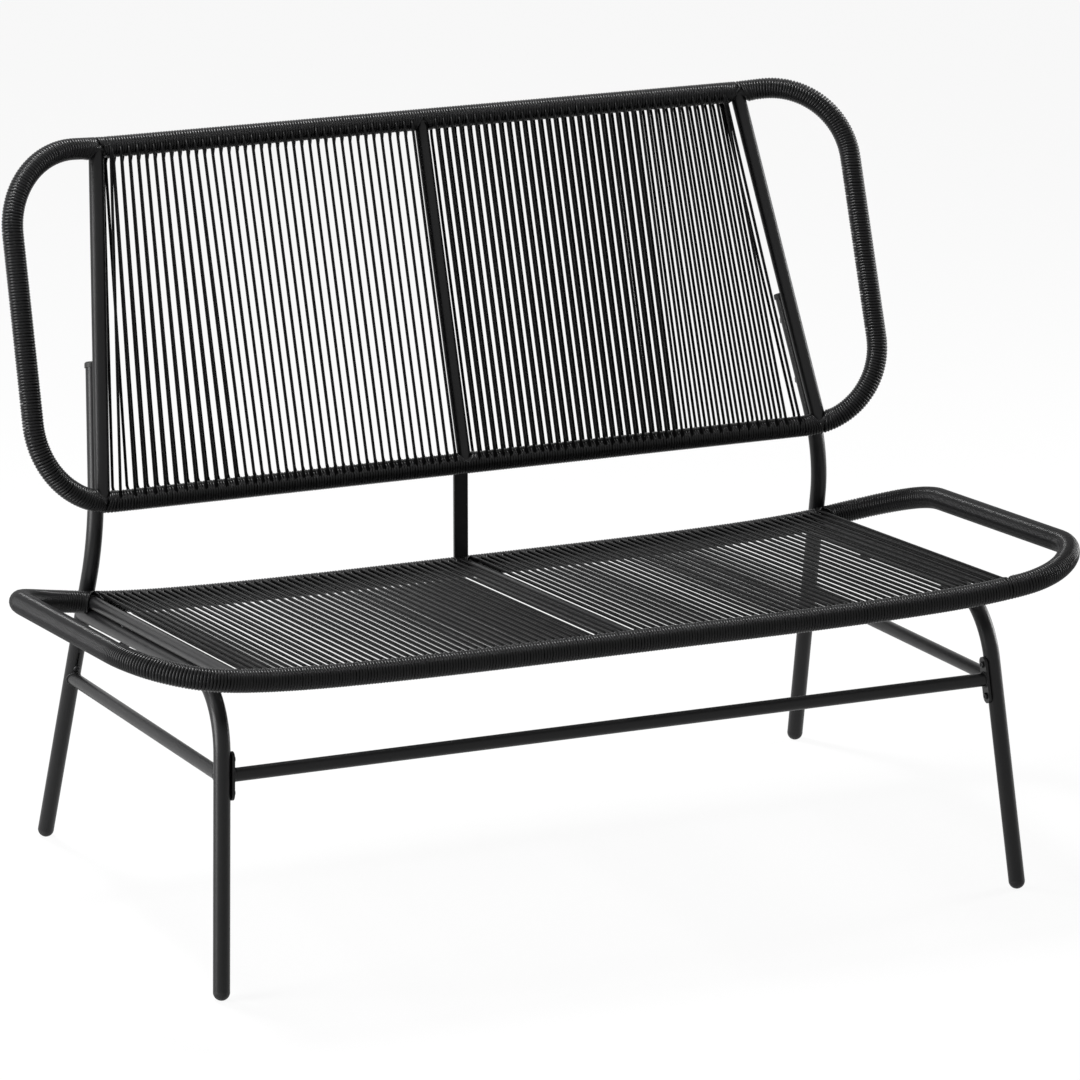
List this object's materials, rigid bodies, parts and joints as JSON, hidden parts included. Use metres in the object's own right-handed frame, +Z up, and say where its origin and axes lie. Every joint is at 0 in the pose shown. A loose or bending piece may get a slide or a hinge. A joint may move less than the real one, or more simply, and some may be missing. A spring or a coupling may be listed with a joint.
{
  "type": "patio loveseat",
  "caption": "Outdoor loveseat on splayed tube legs; its seat and reclined back are winged loop frames wound with cord and filled with straight strings.",
  "frame": {"origin": "on the floor, in the middle of the bounding box's footprint", "axes": "+X to the sitter's left-hand end seen from behind, which is the right end seen from the front; +Y from the seat's front to the back; +Z up"},
  "size_m": [1.2092, 0.6774, 0.8602],
  "materials": {
    "powder_coat": "satin powder coat",
    "winding_cord": "smooth round cord, wound turn by turn",
    "string_cord": "smooth round cord, strung straight",
    "cap_plastic": "moulded, fine grain",
    "fastener": "black zinc"
  },
  "bodies": {
    "root": {"seat_ring_tube": "powder_coat", "seat_side_tube_left": "powder_coat", "seat_side_tube_right": "powder_coat", "seat_centre_tube": "powder_coat", "back_ring_tube": "powder_coat", "back_side_tube_left": "powder_coat", "back_side_tube_right": "powder_coat", "back_centre_tube": "powder_coat", "front_leg_left": "powder_coat", "front_leg_right": "powder_coat", "rear_leg_left": "powder_coat", "rear_leg_right": "powder_coat", "side_stretcher_left": "powder_coat", "side_stretcher_right": "powder_coat", "front_stretcher": "powder_coat", "stretcher_plate_left": "powder_coat", "stretcher_plate_right": "powder_coat", "centre_strap": "powder_coat", "foot_cap_front_left": "cap_plastic", "foot_cap_front_right": "cap_plastic", "foot_cap_rear_left": "cap_plastic", "foot_cap_rear_right": "cap_plastic", "upright_cap_left": "cap_plastic", "upright_cap_right": "cap_plastic", "stretcher_screws": "fastener", "rear_leg_screws": "fastener", "seat_bolts": "fastener", "back_bolts": "fastener", "strap_screw": "fastener", "seat_winding_front": "winding_cord", "seat_winding_rear": "winding_cord", "seat_winding_left": "winding_cord", "seat_winding_right": "winding_cord", "back_winding_bottom": "winding_cord", "back_winding_top": "winding_cord", "back_winding_left": "winding_cord", "back_winding_right": "winding_cord", "seat_strings_upper_left": "string_cord", "seat_strings_upper_right": "string_cord", "seat_strings_lower_left": "string_cord", "seat_strings_lower_right": "string_cord", "back_strings_front_left": "string_cord", "back_strings_front_right": "string_cord", "back_strings_rear_left": "string_cord", "back_strings_rear_right": "string_cord"}
  },
  "joints": []
}
